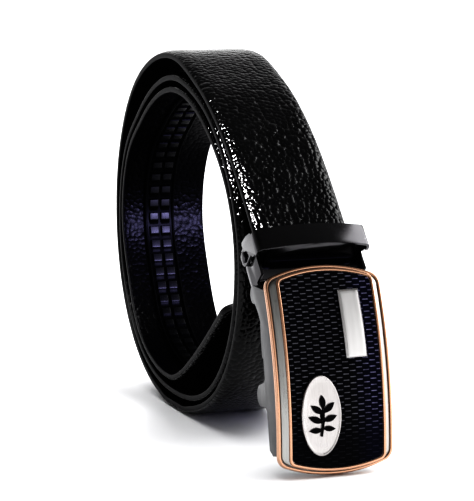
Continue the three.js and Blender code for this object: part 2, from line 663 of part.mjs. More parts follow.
const stations = strapStations();
const belt = new THREE.Group();
belt.add(makeStrap(stations), makeTrack(stations), makeClamp(), makeBuckle());
belt.updateMatrixWorld(true);
const bounds = new THREE.Box3().setFromObject(belt, true);
belt.position.set(-(bounds.min.x + bounds.max.x) / 2, -(bounds.min.y + bounds.max.y) / 2, -bounds.min.z);

export default belt;
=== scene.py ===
import math
import bmesh
import bpy
from mathutils import Matrix, Vector


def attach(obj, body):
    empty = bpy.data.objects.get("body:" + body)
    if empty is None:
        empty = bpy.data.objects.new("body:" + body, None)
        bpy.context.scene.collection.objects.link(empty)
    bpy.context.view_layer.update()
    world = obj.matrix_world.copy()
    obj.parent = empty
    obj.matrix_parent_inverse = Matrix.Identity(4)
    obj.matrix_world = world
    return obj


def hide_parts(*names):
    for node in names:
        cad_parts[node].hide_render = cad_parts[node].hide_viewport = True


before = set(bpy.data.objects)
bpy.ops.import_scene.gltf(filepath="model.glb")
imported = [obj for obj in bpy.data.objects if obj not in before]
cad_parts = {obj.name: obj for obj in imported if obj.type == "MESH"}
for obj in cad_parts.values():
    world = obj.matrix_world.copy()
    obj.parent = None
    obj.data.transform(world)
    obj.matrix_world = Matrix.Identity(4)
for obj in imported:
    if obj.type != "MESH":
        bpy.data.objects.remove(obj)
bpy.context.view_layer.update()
mm = 0.001


# Camera, at the photograph's place
cameraSetup = {"place": (-0.28726, -0.79079, 0.18175), "forward": (0.34087, 0.93020, -0.13616),
               "roll": -0.07, "lens": 161.0, "shift": (-0.0145, -0.0055)}


def makeCamera(setup):
    data = bpy.data.cameras.new("photoCamera")
    data.lens = setup["lens"]
    data.sensor_width = 36
    data.shift_x, data.shift_y = setup["shift"]
    data.clip_start, data.clip_end = 0.05, 20
    camera = bpy.data.objects.new("photoCamera", data)
    camera.location = setup["place"]
    turn = Vector(setup["forward"]).to_track_quat("-Z", "Y").to_matrix()
    camera.rotation_euler = (turn @ Matrix.Rotation(math.radians(setup["roll"]), 3, "Z")).to_euler()
    bpy.context.scene.collection.objects.link(camera)
    bpy.context.scene.camera = camera


makeCamera(cameraSetup)
print("camera set")


# Places: the roll, the buckle's face and the clamp, in millimetres of the belt
rollY = 25.414
faceOrigin = Vector((0, -90.886, 35.789))
faceUp = Vector((0, 0.20279, 0.97922))
faceOut = Vector((0, -0.97922, 0.20279))
clampOrigin = Vector((0, -73.286, 60.126))
clampAlong = Vector((0, 0.66913, 0.74314))
clampOut = Vector((0, -0.74314, 0.66913))
across = Vector((1, 0, 0))


def swell(up):
    return 4.3 - (up + 2) ** 2 / 260


def onFace(x, up, out):
    return (faceOrigin + across * x + faceUp * up + faceOut * (out + swell(up))) * mm


def onFaceFlat(x, up, out):
    return (faceOrigin + across * x + faceUp * up + faceOut * out) * mm


# Mesh helpers
def skin(bm, rows, closeAcross=False, closeAlong=False, capEnds=False):
    wide = len(rows[0]) - (0 if closeAcross else 1)
    long = len(rows) - (0 if closeAlong else 1)
    made = bmesh.ops.create_grid(bm, x_segments=wide, y_segments=long, size=0.5)["verts"]
    ends = [[], []]
    for vert in made:
        i = round((vert.co.x + 0.5) * wide)
        j = round((vert.co.y + 0.5) * long)
        vert.co = rows[j % len(rows)][i % len(rows[0])]
        if j in (0, long):
            ends[0 if j == 0 else 1].append(vert)
    # a capped skin narrows to a ring at each end, which is filled
    if capEnds:
        for end in ends:
            edges = {e for v in end for e in v.link_edges if e.other_vert(v) in end}
            bmesh.ops.remove_doubles(bm, verts=end, dist=1e-7)
            edges = [e for e in edges if e.is_valid]
            bmesh.ops.holes_fill(bm, edges=edges, sides=0)


def finishMesh(bm, name, finishes, smoothAngle=35, merge=1e-6):
    bmesh.ops.remove_doubles(bm, verts=bm.verts[:], dist=merge)
    bmesh.ops.recalc_face_normals(bm, faces=bm.faces[:])
    for face in bm.faces:
        face.smooth = True
    for edge in bm.edges:
        edge.smooth = not edge.is_manifold or edge.calc_face_angle(0) < math.radians(smoothAngle)
    mesh = bpy.data.meshes.new(name)
    bm.to_mesh(mesh)
    bm.free()
    for finish in finishes:
        mesh.materials.append(finish)
    piece = bpy.data.objects.new(name, mesh)
    bpy.context.scene.collection.objects.link(piece)
    return piece


def standFor(piece, body, slot, *nodes):
    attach(piece, body)
    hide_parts(*nodes)
    return piece


def softened(node, width, finish, segments=2, smoothAngle=40):
    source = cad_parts[node]
    bm = bmesh.new()
    bm.from_mesh(source.data)
    bmesh.ops.remove_doubles(bm, verts=bm.verts[:], dist=2e-6)
    bmesh.ops.dissolve_limit(bm, angle_limit=math.radians(1.2), verts=bm.verts[:], edges=bm.edges[:])
    sharp = [e for e in bm.edges if e.is_manifold and e.calc_face_angle(0) > math.radians(35)]
    bmesh.ops.bevel(bm, geom=sharp, offset=width * mm, offset_type="OFFSET", segments=segments, profile=0.5,
                    affect="EDGES", material=-1, clamp_overlap=True)
    return finishMesh(bm, node.replace("_", ".") + ".dressed", [finish], smoothAngle)


# Node helpers
class Finish:
    def __init__(self, name):
        self.material = bpy.data.materials.new(name)
        self.material.use_nodes = True
        self.nodes = self.material.node_tree.nodes
        self.links = self.material.node_tree.links
        self.shader = self.nodes["Principled BSDF"]

    def node(self, kind, **values):
        made = self.nodes.new(kind)
        for name, value in values.items():
            setattr(made, name, value)
        return made

    def link(self, source, target):
        self.links.new(source, target)

    def math(self, operation, a, b=None, clamp=False):
        made = self.node("ShaderNodeMath", operation=operation, use_clamp=clamp)
        for i, value in enumerate((a, b)):
            if value is None:
                continue
            if isinstance(value, (int, float)):
                made.inputs[i].default_value = value
            else:
                self.link(value, made.inputs[i])
        return made.outputs[0]

    def noise(self, vector, scale, detail=3, rough=0.5):
        made = self.node("ShaderNodeTexNoise")
        made.inputs["Scale"].default_value = scale
        made.inputs["Detail"].default_value = detail
        made.inputs["Roughness"].default_value = rough
        self.link(vector, made.inputs["Vector"])
        return made.outputs["Fac"]

    def spread(self, value, low, high, fromLow=0.0, fromHigh=1.0):
        made = self.node("ShaderNodeMapRange")
        made.inputs["From Min"].default_value = fromLow
        made.inputs["From Max"].default_value = fromHigh
        made.inputs["To Min"].default_value = low
        made.inputs["To Max"].default_value = high
        self.link(value, made.inputs["Value"])
        return made.outputs["Result"]

    def mixColour(self, factor, a, b):
        made = self.node("ShaderNodeMix", data_type="RGBA")
        self.link(factor, made.inputs["Factor"])
        for socket, value in (("A", a), ("B", b)):
            target = [s for s in made.inputs if s.name == socket and s.type == "RGBA"][0]
            if isinstance(value, tuple):
                target.default_value = (*value, 1)
            else:
                self.link(value, target)
        return [s for s in made.outputs if s.type == "RGBA"][0]

    def bump(self, height, strength, distance):
        made = self.node("ShaderNodeBump")
        made.inputs["Strength"].default_value = strength
        made.inputs["Distance"].default_value = distance
        self.link(height, made.inputs["Height"])
        return made.outputs["Normal"]

    def uv(self, scale=(1, 1, 1)):
        coordinates = self.node("ShaderNodeTexCoord")
        mapping = self.node("ShaderNodeMapping")
        mapping.inputs["Scale"].default_value = scale
        self.link(coordinates.outputs["UV"], mapping.inputs["Vector"])
        return mapping.outputs["Vector"]

    def place(self, scale=(1, 1, 1), turn=(0, 0, 0)):
        coordinates = self.node("ShaderNodeTexCoord")
        mapping = self.node("ShaderNodeMapping")
        mapping.inputs["Scale"].default_value = scale
        mapping.inputs["Rotation"].default_value = turn
        self.link(coordinates.outputs["Object"], mapping.inputs["Vector"])
        return mapping.outputs["Vector"]


# Strap
strapShape = {"width": 35, "thickness": 3.15, "shoulder": (5.6, 1.5), "liningEdge": 0.35, "turnGap": 0.4,
              "rollHalfLength": 76.8, "rollHalfHeight": 69.9, "tipRadius": 5.5, "cutRadius": 3.5,
              "firstTurn": -3.5 / 32, "lastTurn": 79.5 / 32, "stride": 1.5, "inClamp": 15,
              "seat": 5.1, "cutEnd": 7.9, "mouth": 24, "tipBack": 0.775, "tipSink": 0.29, "tipAngle": 37,
              "tipLeave": 0.17, "tipArrive": 0.42, "softEnd": 0.45}
# turn of the roll, and how many straps deep it lies below the ellipse
rollTurns = [
    (-0.125, 1.01), (-0.0625, 1.07), (0, 0.1), (0.0625, -0.34), (0.125, -0.56), (0.1875, -0.25),
    (0.25, 0), (0.375, -0.34), (0.5, 0), (0.5625, -0.2), (0.625, -0.62), (0.6875, -0.45),
    (0.75, 0.31), (0.8125, 1.49), (0.875, 2.11), (0.9375, 2.45), (1, 2.34), (1.125, 2.73),
    (1.1875, 1.6), (1.25, 1.13), (1.375, 0.66), (1.5, 1.34), (1.625, 0.42), (1.75, 1.34),
    (1.875, 3.55), (2, 3.62), (2.125, 3.9), (2.1875, 2.64), (2.25, 2.17), (2.3125, 2.5),
    (2.375, 1.72), (2.4375, 2.14), (2.5, 2.85)]


def layersAt(turn):
    rows = rollTurns
    i = max(k for k in range(len(rows) - 1) if k == 0 or rows[k][0] <= turn)

    def slope(k):
        before, after = rows[max(k - 1, 0)], rows[min(k + 1, len(rows) - 1)]
        return (after[1] - before[1]) / (after[0] - before[0])

    (fromTurn, a), (toTurn, b) = rows[i], rows[i + 1]
    span = toTurn - fromTurn
    t = (turn - fromTurn) / span
    return (a * (1 + 2 * t) * (1 - t) ** 2 + slope(i) * span * t * (1 - t) ** 2
            + b * t * t * (3 - 2 * t) + slope(i + 1) * span * t * t * (t - 1))


def rollPoint(turn, shape):
    angle = 2 * math.pi * turn
    radius = 1 / math.hypot(math.sin(angle) / shape["rollHalfLength"],
                            math.cos(angle) / shape["rollHalfHeight"])
    radius -= layersAt(turn) * (shape["thickness"] + shape["turnGap"]) + shape["thickness"] / 2
    z = shape["rollHalfHeight"] + radius * math.cos(angle)
    # the outermost turn lies flat on the ground for a short stretch
    rest = min(max((0.044 - abs(turn - 0.5)) / 0.028, 0), 1)
    rest = rest * rest * (3 - 2 * rest)
    z += (shape["thickness"] / 2 - z) * rest
    return Vector((0, rollY + radius * math.sin(angle), z))


def bezierPoints(a, b, c, d, count):
    points = []
    for i in range(count + 1):
        t = i / count
        points.append(a * (1 - t) ** 3 + b * 3 * t * (1 - t) ** 2 + c * 3 * t * t * (1 - t) + d * t ** 3)
    return points


def strapRoute(shape):
    middle = shape["seat"] + shape["thickness"] / 2
    start = clampOrigin + clampAlong * shape["cutEnd"] + clampOut * middle
    mouth = clampOrigin + clampAlong * shape["mouth"] + clampOut * middle
    count = 900
    roll = [rollPoint(shape["firstTurn"] + (shape["lastTurn"] - shape["firstTurn"]) * i / count, shape)
            for i in range(count + 1)]
    reach = (mouth - roll[0]).length / 3
    heading = (roll[3] - roll[0]).normalized()
    line = [start.lerp(mouth, i / 12) for i in range(12)]
    line += bezierPoints(mouth, mouth + clampAlong * reach, roll[0] - heading * reach, roll[0], 30)[:-1]
    line += roll
    heading = (roll[-1] - roll[-4]).normalized()
    tip = Vector((0, rollY - shape["tipBack"] * shape["rollHalfLength"],
                  shape["rollHalfHeight"] * (1 - shape["tipSink"])))
    chord = (tip - roll[-1]).length
    tipAngle = math.radians(shape["tipAngle"])
    tipHeading = Vector((0, -math.cos(tipAngle), math.sin(tipAngle)))
    line += bezierPoints(roll[-1], roll[-1] + heading * shape["tipLeave"] * chord,
                         tip - tipHeading * shape["tipArrive"] * chord, tip, 60)[1:]
    return line


class Route:
    def __init__(self, points):
        self.points = points
        self.along = [0]
        for a, b in zip(points, points[1:]):
            self.along.append(self.along[-1] + (b - a).length)
        self.length = self.along[-1]

    def at(self, distance):
        distance = min(max(distance, 0), self.length)
        low, high = 0, len(self.along) - 1
        while high - low > 1:
            middle = (low + high) // 2
            if self.along[middle] <= distance:
                low = middle
            else:
                high = middle
        share = (distance - self.along[low]) / (self.along[high] - self.along[low])
        return self.points[low].lerp(self.points[high], share)

    def frameAt(self, distance, reach=1.5):
        way = (self.at(distance + reach) - self.at(distance - reach)).normalized()
        return self.at(distance), way, Vector((0, -way.z, way.y))


route = Route(strapRoute(strapShape))
print("strap length", round(route.length, 1), "mm")


def arcPoints(centre, radius, fromAngle, toAngle, count):
    return [(centre[0] + radius * math.cos(math.radians(fromAngle + (toAngle - fromAngle) * i / count)),
             centre[1] + radius * math.sin(math.radians(fromAngle + (toAngle - fromAngle) * i / count)))
            for i in range(count + 1)]


leatherLook = {"dark": (0.0015, 0.0015, 0.0017), "light": (0.003, 0.0029, 0.0034), "rough": (0.14, 0.2),
               "specular": 0.3, "pebble": 0.0017, "wander": 0.35, "bump": 1.0, "depth": 0.00034}


def strapProfile(shape, inset):
    w = shape["width"] / 2 - inset
    half = shape["thickness"] / 2
    wide, deep = shape["shoulder"]
    low = shape["liningEdge"]
    bottom = [(-w + low + (2 * w - 2 * low) * i / 10, -half) for i in range(1, 10)]
    top = [(w - wide - (2 * w - 2 * wide) * i / 12, half) for i in range(1, 12)]
    shoulder = [(x * wide, y * deep) for x, y in arcPoints((0, 0), 1, 0, 90, 8)]
    right = [(w - wide + x, half - deep + y) for x, y in shoulder]
    return (arcPoints((-w + low, low - half), low, 180, 270, 3) + bottom
            + arcPoints((w - low, low - half), low, 270, 360, 3)
            + right + top + [(-x, y) for x, y in reversed(right)])


edgeSlot, liningSlot, paintedShadeSlot = 1, 2, 3


def makeStrap(shape, finishes):
    marks, first = [0, 0.06, 0.2, 0.45, 0.8, 1.3, 2, 2.8], 3.6
    stretch = route.length - 2 * first
    count = round(stretch / shape["stride"])
    inner = [first + stretch * i / count for i in range(count + 1)]
    distances = marks + inner + [route.length - m for m in reversed(marks)]
    soft = shape["softEnd"]
    rows, steps = [], []
    for distance in distances:
        point, way, outward = route.frameAt(distance)
        narrowing = 0
        for left, radius in ((distance, shape["cutRadius"]), (route.length - distance, shape["tipRadius"])):
            short = max(radius - left, 0)
            narrowing = max(narrowing, radius - math.sqrt(radius ** 2 - short ** 2))
        edge = min(distance, route.length - distance)
        pinch = soft - math.sqrt(max(soft ** 2 - max(soft - edge, 0) ** 2, 0))
        profile = strapProfile(shape, narrowing)
        thin = 1 - pinch / (shape["thickness"] / 2)
        rows.append([(point + across * x + outward * (out * thin)) * mm for x, out in profile])
        steps.append(distance)
    bm = bmesh.new()
    skin(bm, rows, closeAcross=True, capEnds=True)
    layer = bm.loops.layers.uv.new("strapUv")
    around = [0]
    profile = strapProfile(shape, 0)
    for a, b in zip(profile, profile[1:] + profile[:1]):
        around.append(around[-1] + math.dist(a, b))
    count = len(profile)
    for index, face in enumerate(bm.faces):
        i, j = index % count, index // count
        if j >= len(rows) - 1:
            face.material_index = edgeSlot
            continue
        for loop, (di, dj) in zip(face.loops, ((0, 0), (1, 0), (1, 1), (0, 1))):
            loop[layer].uv = (steps[j + dj] * mm, around[i + di] * mm)
        if 3 <= i < 13:
            face.material_index = liningSlot
        elif i < 3 or 13 <= i <= 17 or i >= count - 2:
            face.material_index = edgeSlot
        # the stretch inside the clamp takes a dull, nearly shine-free copy of the leather: painted shade
        if steps[j + 1] < shape["inClamp"]:
            face.material_index = paintedShadeSlot
    return standFor(finishMesh(bm, "strap.leather", finishes, 60), "belt", "leather", "strap")


def pebbleHeight(f, size, wander):
    wavy = f.node("ShaderNodeTexNoise")
    wavy.inputs["Scale"].default_value = 0.6 / size
    f.link(f.uv(), wavy.inputs["Vector"])
    moved = f.node("ShaderNodeVectorMath", operation="MULTIPLY_ADD")
    f.link(wavy.outputs["Color"], moved.inputs[0])
    moved.inputs[1].default_value = (wander * size, wander * size, 0)
    f.link(f.uv(), moved.inputs[2])
    cells = f.node("ShaderNodeTexVoronoi", feature="SMOOTH_F1", voronoi_dimensions="2D")
    cells.inputs["Scale"].default_value = 1 / size
    cells.inputs["Smoothness"].default_value = 0.25
    f.link(moved.outputs[0], cells.inputs["Vector"])
    dome = f.math("MULTIPLY", cells.outputs["Distance"], cells.outputs["Distance"])
    return f.math("SUBTRACT", 1, dome)


def pebbledLeather():
    f = Finish("pebbledLeather")
    s = f.shader
    broad = f.noise(f.uv(), 90, 3)
    fine = f.noise(f.uv(), 2200, 3)
    pebbles = pebbleHeight(f, leatherLook["pebble"], leatherLook["wander"])
    height = f.math("ADD", pebbles, f.math("MULTIPLY", fine, 0.05))
    f.link(f.mixColour(broad, leatherLook["dark"], leatherLook["light"]), s.inputs["Base Color"])
    f.link(f.spread(broad, *leatherLook["rough"], 0.3, 0.7), s.inputs["Roughness"])
    f.link(f.bump(height, leatherLook["bump"], leatherLook["depth"]), s.inputs["Normal"])
    s.inputs["Specular IOR Level"].default_value = leatherLook["specular"]
    return f.material


def paintedEdge():
    f = Finish("paintedEdge")
    s = f.shader
    fibre = f.noise(f.uv((1, 6, 1)), 900, 4)
    s.inputs["Roughness"].default_value = 0.5
    s.inputs["Specular IOR Level"].default_value = 0.12
    f.link(f.mixColour(fibre, (0.006, 0.006, 0.0065), (0.016, 0.0155, 0.0165)), s.inputs["Base Color"])
    f.link(f.bump(fibre, 0.2, 0.0001), s.inputs["Normal"])
    return f.material


def liningLeather():
    f = Finish("liningLeather")
    s = f.shader
    grain = f.noise(f.uv(), 1500, 5, 0.6)
    broad = f.noise(f.uv(), 60, 3)
    height = f.math("ADD", pebbleHeight(f, 0.0017, 0.5), f.math("MULTIPLY", grain, 0.12))
    f.link(f.mixColour(broad, (0.001, 0.001, 0.0015), (0.0022, 0.002, 0.0035)), s.inputs["Base Color"])
    f.link(f.spread(grain, 0.3, 0.4, 0.3, 0.7), s.inputs["Roughness"])
    f.link(f.bump(height, 0.7, 0.0003), s.inputs["Normal"])
    s.inputs["Specular IOR Level"].default_value = 0.045
    return f.material


# painted shade: a dull copy of the leather with almost no shine, for the stretch held in the clamp
def paintedShadeLeather():
    f = Finish("paintedShadeLeather")
    s = f.shader
    grain = f.noise(f.uv(), 1300, 4)
    f.link(f.mixColour(grain, (0.001, 0.001, 0.0012), (0.004, 0.004, 0.0042)), s.inputs["Base Color"])
    f.link(f.spread(grain, 0.5, 0.7, 0.3, 0.7), s.inputs["Roughness"])
    f.link(f.bump(grain, 0.4, 0.0002), s.inputs["Normal"])
    s.inputs["Specular IOR Level"].default_value = 0.03
    return f.material


strap = makeStrap(strapShape, [pebbledLeather(), paintedEdge(), liningLeather(), paintedShadeLeather()])
print("strap made")


# Ratchet track
trackShape = {"start": 25, "length": 240, "width": 12.6, "base": 0.5, "rail": 0.9, "railHeight": 1.1,
              "pitch": 6.1, "row": 8.7, "groove": 1.0, "low": 0.65, "high": 1.3, "gap": 0.3, "left": -2,
              "soft": 0.15}
toothSlot, stripSlot = 0, 1


def makeTrack(shape, finishes):
    rail, count = shape["width"] / 2, int(shape["length"] // shape["pitch"])
    inner = rail - shape["rail"]
    lift, base, soft = shape["railHeight"], shape["base"], shape["soft"]
    profile = [(-rail, 0), (-rail, lift - soft), (-rail + soft, lift), (-inner - soft, lift),
               (-inner, lift - soft), (-inner, base), (inner, base), (inner, lift - soft),
               (inner + soft, lift), (rail - soft, lift), (rail, lift - soft), (rail, 0)]
    sole = strapShape["thickness"] / 2 + shape["gap"]

    def spot(fromTip, x, height):
        point, way, outward = route.frameAt(route.length - fromTip)
        return (point + across * (x + shape["left"]) - outward * (sole + height)) * mm

    bm = bmesh.new()
    steps = round(shape["length"] / 2)
    reach = count * shape["pitch"]
    rows = [[spot(shape["start"] + reach * j / steps, x, h) for x, h in profile] for j in range(steps + 1)]
    skin(bm, rows, closeAcross=True, capEnds=True)
    half, groove = shape["row"] / 2, shape["groove"] / 2
    for face in bm.faces:
        face.material_index = stripSlot
    rise = shape["high"] - shape["low"]
    # a tooth from its ramp over its nearly flat top: share of the pitch, and height
    dome = [(0, 0.5), (0.2, shape["low"] - 0.05), (0.36, shape["high"] - 0.3)]
    for i in range(7):
        dome.append((0.42 + 0.5 * i / 6, shape["high"] - 0.07 * (i / 3 - 1) ** 2))
    dome += [(0.95, shape["high"] - rise * 0.5), (0.965, 0.5)]
    for tooth in range(count):
        start = shape["start"] + tooth * shape["pitch"]
        for low, high in ((-half, -groove), (groove, half)):
            span = high - low
            rows = []
            for share, lift in dome:
                top = [(0, 0.55), (0, lift - 0.12), (0.03, lift - 0.04), (0.1, lift)]
                row = [(low + span * t, h) for t, h in top]
                row += [(high - span * t, h) for t, h in reversed(top)]
                rows.append([spot(start + share * shape["pitch"], x, max(h, 0.3)) for x, h in row])
            before = set(bm.faces)
            skin(bm, rows, closeAcross=True, capEnds=True)
            middle, way, outward = route.frameAt(route.length - start - 0.67 * shape["pitch"])
            for face in bm.faces:
                if face not in before:
                    height = -((face.calc_center_median() / mm - middle).dot(outward)) - sole
                    onTop = abs(face.normal.dot(outward)) > 0.97 and height > shape["high"] - 0.2
                    face.material_index = toothSlot if onTop else stripSlot
    return standFor(finishMesh(bm, "track.teeth", finishes, 45, 1e-7), "belt", "track", "ratchet_track")


def mouldedTrack(name, gloss):
    f = Finish(name)
    s = f.shader
    place = f.place()
    fine = f.noise(place, 2600, 3)
    broad = f.noise(place, 120, 2)
    f.link(f.mixColour(broad, (0.0015, 0.0015, 0.002), (0.003, 0.003, 0.004)), s.inputs["Base Color"])
    f.link(f.spread(fine, 0.36, 0.46, 0.3, 0.7), s.inputs["Roughness"])
    f.link(f.bump(fine, 0.15, 0.00008), s.inputs["Normal"])
    s.inputs["Specular IOR Level"].default_value = gloss
    return f.material


track = makeTrack(trackShape, [mouldedTrack("mouldedTeeth", 0.16), mouldedTrack("mouldedStrip", 0.03)])
print("track made")


# Metals
def brushedMetal(name, dark, light, rough, stretch, grainScale, bumpStrength=0.12, smudges=0.06):
    f = Finish(name)
    s = f.shader
    streaks = f.noise(f.place(stretch), grainScale, 4, 0.6)
    broad = f.noise(f.place(), 70, 3)
    f.link(f.mixColour(streaks, dark, light), s.inputs["Base Color"])
    roughness = f.spread(streaks, rough - 0.07, rough + 0.07, 0.3, 0.7)
    soil = f.spread(broad, -smudges, smudges, 0.35, 0.65)
    f.link(f.math("ADD", roughness, soil, clamp=True), s.inputs["Roughness"])
    f.link(f.bump(streaks, bumpStrength, 0.00006), s.inputs["Normal"])
    s.inputs["Metallic"].default_value = 1
    return f.material


def polishedMetal(name, colour, edgeColour, rough, bumpStrength=0.05, scratched=False):
    f = Finish(name)
    s = f.shader
    place = f.place()
    broad = f.noise(place, 90, 3)
    fine = f.noise(place, 1800, 4)
    tone = f.mixColour(broad, colour, edgeColour)
    if scratched:
        strokes = f.noise(f.place((0.12, 1, 1), (0.1, 0.25, 0.5)), 1500, 2)
        tone = f.mixColour(f.spread(strokes, 0, 0.5, 0.72, 0.76), tone, (0.3, 0.3, 0.305))
    f.link(tone, s.inputs["Base Color"])
    f.link(f.spread(broad, rough * 0.8, rough * 1.3, 0.3, 0.7), s.inputs["Roughness"])
    f.link(f.bump(fine, bumpStrength, 0.00004), s.inputs["Normal"])
    s.inputs["Metallic"].default_value = 1
    return f.material


gunmetal = polishedMetal("blackGunmetal", (0.065, 0.064, 0.067), (0.1, 0.098, 0.102), 0.15, 0.05, True)
darkNickel = brushedMetal("darkNickel", (0.12, 0.12, 0.125), (0.2, 0.2, 0.205), 0.34, (1, 0.1, 0.1), 1400)
nickel = brushedMetal("brushedNickel", (0.34, 0.34, 0.33), (0.5, 0.495, 0.48), 0.34, (1, 0.08, 0.06), 1500)
# painted shade: a darker copy of the brushed nickel for the buckle's side walls, which lie in shade
paintedShadeNickel = brushedMetal("paintedShadeNickel", (0.12, 0.12, 0.122), (0.175, 0.175, 0.178), 0.4, (0.1, 1, 0.1), 1400)
silver = brushedMetal("brushedSilver", (0.36, 0.345, 0.34), (0.56, 0.54, 0.53), 0.3, (1, 0.06, 0.06), 1500,
                      0.3)
satinSilver = brushedMetal("satinSilver", (0.6, 0.59, 0.585), (0.7, 0.69, 0.685), 0.34, (1, 0.06, 0.06), 900,
                           0.06)
roseGold = polishedMetal("roseGold", (0.52, 0.32, 0.22), (0.6, 0.38, 0.27), 0.19, 0.01)
enamel = polishedMetal("blackEnamel", (0.006, 0.006, 0.006), (0.012, 0.011, 0.012), 0.4)
print("metals made")


# Face of the buckle
faceShape = {"half": 21.05, "apex": 36, "bow": 4.5, "corner": 4.5, "plateFront": -1.2, "plateBack": -2.5,
             "footIn": 1.25, "headIn": 3.3, "bezelFoot": -0.1, "bezelTop": 1.0}
arcRadius = (faceShape["half"] ** 2 + faceShape["bow"] ** 2) / (2 * faceShape["bow"])


def bowedOutline(half, top, corner, side=18, fillet=8, crown=18):
    centre = top - arcRadius
    filletX = half - corner
    filletY = centre + math.sqrt((arcRadius - corner) ** 2 - filletX ** 2)
    start = math.degrees(math.atan2(filletY - centre, filletX))
    quarter = [(half, filletY * i / side) for i in range(side)]
    quarter += arcPoints((filletX, filletY), corner, 0, start, fillet)
    quarter += arcPoints((0, centre), arcRadius, start, 90, crown)[1:]
    left = [(-x, y) for x, y in reversed(quarter[:-1])]
    upper = quarter + left
    lower = [(-x, -y) for x, y in upper[1:-1]]
    return upper + lower


outerTrim = {"half": 21.05, "top": 36, "corner": 4.5, "base": -0.9, "height": 0.9, "width": 0.95,
             "soft": 0.16}
innerTrim = {"half": 17.75, "top": 34.75, "corner": 2.6, "base": 1.3, "height": 0.9, "width": 0.95,
             "soft": 0.16}


def makeTrim(name, node, shape, finish):
    width, soft = shape["width"], shape["soft"]
    crown = shape["base"] + shape["height"]
    # how far in from the outer edge, and how high
    levels = [(0, shape["base"]), (0, crown - 0.35), (soft * 0.5, crown - soft * 0.6), (width * 0.32, crown),
              (width * 0.68, crown), (width - soft * 0.5, crown - soft * 0.6), (width, crown - 0.35),
              (width, shape["base"])]
    rows = []
    for inset, out in levels:
        outline = bowedOutline(shape["half"] - inset, shape["top"] - inset, shape["corner"] - inset)
        rows.append([onFace(x, y, out) for x, y in outline])
    bm = bmesh.new()
    skin(bm, rows, closeAcross=True, closeAlong=True)
    return standFor(finishMesh(bm, name, [finish], 50), "buckle", "rose_gold", node)


wallShape = {"end": 28.4, "inside": 20.0, "outside": 21.05, "depth": 7, "top": 8, "step": 5,
             "hinge": (27.4, -12.3), "hingeEar": 3.2, "pawl": (-7.5, -11.8), "pawlEar": 3.85}


# Side wall, seen from the side: the curved front, the pawl's ear and the hinge's ear
def wallOutline(shape):
    wallEnd, depth, top, step = shape["end"], shape["depth"], shape["top"], shape["step"]
    ear, (pawlUp, hingeUp) = shape["pawlEar"], (shape["pawl"][0], shape["hinge"][0])
    front = [(wallEnd * (1 - i / 12), faceShape["plateBack"] + 0.05 + swell(wallEnd * (1 - i / 12)))
             for i in range(25)]
    lower = [(-wallEnd, -depth * 0.6), (-wallEnd * 0.93, -depth), (pawlUp - ear * 1.45, -depth),
             (pawlUp - ear * 1.12, -depth - ear * 0.35)]
    upper = [(pawlUp + ear * 1.12, -depth - ear * 0.35), (pawlUp + ear * 1.45, -depth), (step, -depth),
             (step + 0.6, -top), (hingeUp * 0.42, -top), (hingeUp * 0.66, -top * 0.95),
             (hingeUp * 0.76, -top * 1.12)]
    return (front + lower + arcPoints(shape["pawl"], ear, 180, 360, 16) + upper
            + arcPoints(shape["hinge"], shape["hingeEar"], 170, 350, 16)
            + arcPoints(shape["hinge"], shape["hingeEar"], 360, 380, 2))


def plateFromOutline(bm, outline, fromX, toX, place, edge=0.15):
    made = bmesh.ops.create_circle(bm, cap_ends=True, radius=1, segments=len(outline))["verts"]
    ordered = sorted(made, key=lambda v: math.atan2(v.co.y, v.co.x) % (2 * math.pi))
    for vert, (up, out) in zip(ordered, outline):
        vert.co = place(fromX, up, out)
    face = [f for f in ordered[0].link_faces][0]
    grown = bmesh.ops.extrude_face_region(bm, geom=[face])["geom"]
    moved = [v for v in grown if isinstance(v, bmesh.types.BMVert)]
    bmesh.ops.translate(bm, verts=moved, vec=Vector(((toX - fromX) * mm, 0, 0)))
    verts = set(ordered) | set(moved)
    rims = [e for e in bm.edges if (e.verts[0] in ordered and e.verts[1] in ordered)
            or (e.verts[0] in moved and e.verts[1] in moved)]
    bmesh.ops.recalc_face_normals(bm, faces=list({f for v in verts for f in v.link_faces}))
    bmesh.ops.bevel(bm, geom=rims, offset=edge * mm, segments=2, profile=0.5, affect="EDGES", material=-1,
                    clamp_overlap=True)


rimSlot, wallSlot = 1, 2


